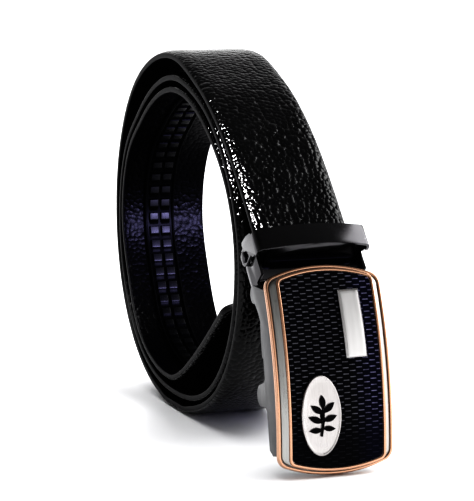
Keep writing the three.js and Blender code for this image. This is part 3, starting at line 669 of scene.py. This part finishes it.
def makeFrame(shape, finishes):
    half, apex, corner = shape["half"], shape["apex"], shape["corner"]
    bm = bmesh.new()
    back, front = shape["plateBack"], shape["plateFront"]
    foot, head, top = half - shape["footIn"], half - shape["headIn"], apex - shape["footIn"]
    bezelMiddle = (shape["bezelFoot"] + shape["bezelTop"]) / 2 - 0.1
    # from the middle of the plate's back round its rim, up the bezel and in over the top
    rows = [(half * share, apex * share, corner * share, back) for share in (0.12, 0.5, 0.9)]
    rows += [(half - 0.15, apex - 0.15, corner - 0.15, back), (half, apex, corner, back + 0.15),
             (half, apex, corner, front - 0.12), (half - 0.12, apex - 0.12, corner - 0.12, front),
             (foot, top, corner - 0.95, front), (foot, top, corner - 0.95, shape["bezelFoot"] - 0.12),
             (foot - 0.12, top - 0.02, corner - 1, shape["bezelFoot"]),
             ((foot + head) / 2, top - 0.02, corner - 1.45, bezelMiddle),
             (head + 0.1, top - 0.02, corner - 1.9, shape["bezelTop"] - 0.06),
             (head - 0.05, top - 0.1, corner - 1.95, shape["bezelTop"])]
    for share in (0.9, 0.5, 0.12):
        rows.append((head * share, top * share, (corner - 2) * share, shape["bezelTop"]))
    made = [[onFace(x, y, out) for x, y in bowedOutlineScaled(h, t, c)] for h, t, c, out in rows]
    skin(bm, made, closeAcross=True, capEnds=True)
    for face in bm.faces:
        onRim = all(abs(heightOf(v) - (back + front) / 2) < 0.7 for v in face.verts)
        if onRim and abs(face.normal.dot(faceOut)) < 0.8:
            face.material_index = rimSlot
    outline = wallOutline(wallShape)
    inside, outside = wallShape["inside"], wallShape["outside"]
    plateFromOutline(bm, outline, inside, outside, onFaceFlat)
    plateFromOutline(bm, outline, -outside, -inside, onFaceFlat)
    # the side walls take the darker copy of the nickel, painted shade
    for face in bm.faces:
        if all(abs(v.co.x / mm) > inside - 0.1 and heightOf(v) < back + 0.1 for v in face.verts):
            face.material_index = wallSlot
    return standFor(finishMesh(bm, "buckle.frame", finishes, 35), "buckle", "nickel", "buckle_frame")


# Height of a point above the face's curved surface
def heightOf(vert):
    offset = vert.co / mm - faceOrigin
    return offset.dot(faceOut) - swell(offset.dot(faceUp))


def bowedOutlineScaled(half, top, corner):
    full = bowedOutline(faceShape["half"], faceShape["apex"], faceShape["corner"])
    if half > 12:
        return bowedOutline(half, top, corner)
    return [(x * half / faceShape["half"], y * top / faceShape["apex"]) for x, y in full]


def halfWidthAt(up, half, top, corner):
    centre = top - arcRadius
    filletX = half - corner
    filletY = centre + math.sqrt((arcRadius - corner) ** 2 - filletX ** 2)
    up = min(abs(up), top)
    if up <= filletY:
        return half
    start = math.atan2(filletY - centre, filletX)
    if up <= filletY + corner * math.sin(start):
        return filletX + math.sqrt(max(corner ** 2 - (up - filletY) ** 2, 0))
    return math.sqrt(max(arcRadius ** 2 - (up - centre) ** 2, 0))


panelShape = {"half": 16.5, "top": 33.5, "corner": 1.65, "base": 1.3, "thickness": 0.6, "rows": 90}


def makePanel(shape, finish):
    top, thickness = shape["top"], shape["thickness"]
    bm = bmesh.new()
    rows = []
    for j in range(shape["rows"] + 1):
        up = -top * math.cos(math.pi * j / shape["rows"])
        wide = max(halfWidthAt(up, shape["half"], top, shape["corner"]), 0.02)
        rows.append([onFace(wide * (i / 16 * 2 - 1), up, shape["base"] + thickness) for i in range(17)])
    skin(bm, rows)
    layer = bm.loops.layers.uv.new("panelUv")
    for face in bm.faces:
        for loop in face.loops:
            offset = loop.vert.co / mm - faceOrigin
            loop[layer].uv = (offset.x * mm, offset.dot(faceUp) * mm)
    bmesh.ops.recalc_face_normals(bm, faces=bm.faces[:])
    if bm.faces[0].normal.dot(faceOut) < 0:
        bmesh.ops.reverse_faces(bm, faces=bm.faces[:])
    bmesh.ops.solidify(bm, geom=bm.faces[:], thickness=thickness * mm)
    return standFor(finishMesh(bm, "face.panel", [finish], 40, 1e-6), "buckle", "weave", "face_panel")


# painted reflection: the thread and ground colours turn blue-violet towards the panel's right side, standing
# in for the reflection of a bluish lamp
weaveLook = {"column": 0.0025, "pitch": 0.0021, "rib": 0.00105, "thread": (0.12, 0.12, 0.135),
             "paintedReflectionThread": (0.15, 0.145, 0.23), "ground": (0.0035, 0.0035, 0.005), "paintedReflectionGround": (0.004, 0.004, 0.011),
             "paintedReflectionFrom": 0.006, "paintedReflectionFull": 0.0125, "fadeBelow": -0.021}


def brickWeave():
    f = Finish("brickWeave")
    s = f.shader
    split = f.node("ShaderNodeSeparateXYZ")
    f.link(f.uv(), split.inputs["Vector"])
    columns = f.math("DIVIDE", split.outputs["X"], weaveLook["column"])
    odd = f.math("PINGPONG", f.math("FLOOR", columns), 1)
    rows = f.math("DIVIDE", split.outputs["Y"], weaveLook["pitch"])
    rows = f.math("ADD", rows, f.math("MULTIPLY", odd, 0.5))
    acrossCell = f.math("ABSOLUTE", f.math("SUBTRACT", f.math("FRACT", columns), 0.5))
    upCell = f.math("ABSOLUTE", f.math("SUBTRACT", f.math("FRACT", rows), 0.5))
    dash = f.math("MULTIPLY", f.spread(acrossCell, 1, 0, 0.38, 0.46), f.spread(upCell, 1, 0, 0.06, 0.12))
    fadeBelow = weaveLook["fadeBelow"]
    fade = f.spread(split.outputs["Y"], 0.12, 1, fadeBelow - 0.004, fadeBelow + 0.006)
    shown = f.math("MULTIPLY", dash, fade)
    ribs = f.math("SINE", f.math("MULTIPLY", split.outputs["Y"], 2 * math.pi / weaveLook["rib"]))
    uneven = f.noise(f.uv(), 420, 2)
    height = f.math("ADD", dash, f.math("MULTIPLY", ribs, 0.25))
    grain = f.noise(f.uv(), 2500, 3)
    bright = f.math("MULTIPLY", shown, f.spread(uneven, 0.35, 1.0, 0.3, 0.7))
    # painted reflection: from left to right the threads and the ground take on a blue-violet tint
    paintedReflection = f.spread(split.outputs["X"], 0, 1, weaveLook["paintedReflectionFrom"], weaveLook["paintedReflectionFull"])
    thread = f.mixColour(paintedReflection, weaveLook["thread"], weaveLook["paintedReflectionThread"])
    ground = f.mixColour(paintedReflection, weaveLook["ground"], weaveLook["paintedReflectionGround"])
    f.link(f.mixColour(bright, ground, thread), s.inputs["Base Color"])
    f.link(f.spread(grain, 0.3, 0.44, 0.3, 0.7), s.inputs["Roughness"])
    f.link(f.math("MULTIPLY", bright, 0.85), s.inputs["Metallic"])
    f.link(f.bump(height, 0.7, 0.00018), s.inputs["Normal"])
    s.inputs["Specular IOR Level"].default_value = 0.05
    return f.material


barShape = {"wide": 7.7, "long": 23.6, "thick": 1.2, "tilt": 1, "right": 7.755, "up": 15.1755, "base": 2.2,
            "bevel": 0.78, "steps": 24}


def makeBar(shape, finish):
    steps, thick = shape["steps"], shape["thick"]
    tilt = math.radians(shape["tilt"])
    # how far in from the edge, and how high
    levels = [(0, 0), (0, thick * 0.4), (0.04, thick * 0.45), (shape["bevel"] - 0.1, thick * 0.97),
              (shape["bevel"], thick)]

    def spot(x, y, out):
        return onFace(shape["right"] + x * math.cos(tilt) - y * math.sin(tilt),
                      shape["up"] + x * math.sin(tilt) + y * math.cos(tilt), shape["base"] + out)

    def outline(inset):
        w, l = shape["wide"] / 2 - inset, shape["long"] / 2 - inset
        points = [(w, -l + 2 * l * i / steps) for i in range(steps)]
        points += [(w - 2 * w * i / 8, l) for i in range(8)]
        points += [(-w, l - 2 * l * i / steps) for i in range(steps)]
        points += [(-w + 2 * w * i / 8, -l) for i in range(8)]
        return points

    bm = bmesh.new()
    skin(bm, [[spot(x, y, out) for x, y in outline(inset)] for inset, out in levels], closeAcross=True)
    # the top and the back, each a grid between the two long sides
    for inset, out in (levels[-1], levels[0]):
        w, l = shape["wide"] / 2 - inset, shape["long"] / 2 - inset
        skin(bm, [[spot(w - 2 * w * i / 8, -l + 2 * l * j / steps, out) for i in range(9)]
                  for j in range(steps + 1)])
    return standFor(finishMesh(bm, "face.bar", [finish], 20, 2e-6), "buckle", "silver", "face_bar")


medallionShape = {"wide": 14.6, "high": 27.5, "thick": 1.3, "edge": 0.9, "left": 6.435, "down": 15.5775,
                  "base": 2.2, "sides": 96}


def makeMedallion(shape, finish):
    wide, high, thick, edge = shape["wide"], shape["high"], shape["thick"], shape["edge"]
    base, sides = shape["base"], shape["sides"]
    # across the raised edge and down to the field: how far in, and how high
    levels = [(0, 0), (0, thick * 0.7), (0.12, thick * 0.86), (edge * 0.3, thick * 0.97), (edge * 0.5, thick),
              (edge * 0.7, thick * 0.97), (edge * 0.95, thick * 0.84), (edge * 1.15, thick * 0.8)]
    bm = bmesh.new()

    def ring(w, h, out):
        angles = [2 * math.pi * i / sides for i in range(sides)]
        return [onFace(w * math.cos(t) - shape["left"], h * math.sin(t) - shape["down"], out) for t in angles]

    rows = [ring(wide / 2 - inset, high / 2 - inset, base + out) for inset, out in levels]
    w, h = wide / 2 - levels[-1][0], high / 2 - levels[-1][0]
    for share in (0.85, 0.6, 0.35, 0.12):
        rows.append(ring(w * share, h * share, base + thick * 0.8))
    back = [ring(wide / 2 * share, high / 2 * share, base) for share in (0.12, 0.4, 0.7, 0.9)]
    skin(bm, back + rows, closeAcross=True, capEnds=True)
    return standFor(finishMesh(bm, "face.medallion", [finish], 40), "buckle", "silver", "medallion")


makeFrame(faceShape, [nickel, roseGold, paintedShadeNickel])
makeTrim("face.outerTrim", "outer_trim", outerTrim, roseGold)
makeTrim("face.innerTrim", "inner_trim", innerTrim, roseGold)
makePanel(panelShape, brickWeave())
makeBar(barShape, satinSilver)
makeMedallion(medallionShape, silver)
standFor(softened("ornament", 0.12, enamel), "buckle", "enamel", "ornament")
standFor(softened("pawl_lever", 0.2, darkNickel), "lever", "nickel", "pawl_lever")
standFor(softened("pawl_pin", 0.15, gunmetal), "buckle", "nickel", "pawl_pin")
standFor(softened("hinge_pin", 0.15, gunmetal), "belt", "nickel", "hinge_pin")
print("buckle made")


# Clamp
standFor(softened("clamp_base", 0.14, gunmetal), "belt", "gunmetal", "clamp_base")
standFor(softened("clamp_jaw", 0.24, gunmetal, 3), "jaw", "gunmetal", "clamp_jaw")
for rivet in ("jaw_rivet_left", "jaw_rivet_right"):
    standFor(softened(rivet, 0.18, gunmetal), "belt", "gunmetal", rivet)
print("clamp made")


# Floor and lights
def makeFloor():
    bm = bmesh.new()
    bmesh.ops.create_grid(bm, x_segments=1, y_segments=1, size=20)
    f = Finish("paleFloor")
    f.shader.inputs["Roughness"].default_value = 0.6
    mottled = f.noise(f.place(), 3, 2)
    f.link(f.mixColour(mottled, (0.90, 0.90, 0.91), (0.94, 0.94, 0.95)), f.shader.inputs["Base Color"])
    floor = finishMesh(bm, "floor", [f.material])


centre = (0, 0, 0.07)
lamps = {"windowFront": {"place": (0.46, -1.2, 0.26), "target": (0, 0.05, 0.07), "size": (0.4, 0.28),
                         "power": 52, "colour": (0.58, 0.55, 1.0), "only": (strap, track)},
         "shoulderLeft": {"place": (-0.33, -0.3, 1.07), "target": centre, "size": (0.17, 0.17),
                          "power": 28, "colour": (1, 1, 1), "only": (strap,)},
         "softRight": {"place": (1.05, -0.05, 0.75), "target": centre, "size": (0.9, 0.9),
                       "power": 8, "colour": (1, 1, 1), "only": ()}}
skyLook = {"power": 2.6, "spread": 85, "heading": (-0.22, -0.12, -0.95)}
# brightness of the room by height, and by side from left to right
roomLook = {"byHeight": ((0.0, 0.85), (0.3, 0.42), (0.75, 0.1)), "left": 0.5, "right": 2.5}


def makeLamp(name, look):
    data = bpy.data.lights.new(name, "AREA")
    data.shape = "RECTANGLE"
    data.size, data.size_y = look["size"]
    data.energy = look["power"]
    data.color = look["colour"]
    lamp = bpy.data.objects.new(name, data)
    lamp.location = look["place"]
    lamp.rotation_euler = (Vector(look["target"]) - lamp.location).to_track_quat("-Z", "Y").to_euler()
    bpy.context.scene.collection.objects.link(lamp)
    if look["only"]:
        lit = bpy.data.collections.new(name + "Lit")
        for piece in look["only"]:
            lit.objects.link(piece)
        lamp.visible_diffuse = False
        lamp.light_linking.receiver_collection = lit


def makeSky(look):
    sun = bpy.data.lights.new("softSky", "SUN")
    sun.angle = math.radians(look["spread"])
    sun.energy = look["power"]
    lamp = bpy.data.objects.new("softSky", sun)
    lamp.rotation_euler = Vector(look["heading"]).to_track_quat("-Z", "Y").to_euler()
    lamp.visible_glossy = False
    bpy.context.scene.collection.objects.link(lamp)


def makeRoom(look):
    world = bpy.data.worlds.new("studio")
    world.use_nodes = True
    nodes, links = world.node_tree.nodes, world.node_tree.links
    towards = nodes.new("ShaderNodeTexCoord")
    split = nodes.new("ShaderNodeSeparateXYZ")
    links.new(towards.outputs["Generated"], split.inputs["Vector"])
    fall = nodes.new("ShaderNodeValToRGB")
    ramp = fall.color_ramp.elements
    ramp.new(0.5)
    for element, (height, value) in zip(ramp, look["byHeight"]):
        element.position = height
        element.color = (value, value, value, 1)
    links.new(split.outputs["Z"], fall.inputs["Fac"])
    side = nodes.new("ShaderNodeMapRange")
    side.inputs["From Min"].default_value = -1
    side.inputs["To Min"].default_value = look["left"]
    side.inputs["To Max"].default_value = look["right"]
    links.new(split.outputs["X"], side.inputs["Value"])
    links.new(fall.outputs["Color"], nodes["Background"].inputs["Color"])
    links.new(side.outputs["Result"], nodes["Background"].inputs["Strength"])
    bpy.context.scene.world = world


makeFloor()
for name, look in lamps.items():
    makeLamp(name, look)
makeSky(skyLook)
makeRoom(roomLook)
bpy.context.scene.view_settings.view_transform = "Standard"
bpy.context.scene.view_settings.look = "Very High Contrast"
print("floor and lights set")
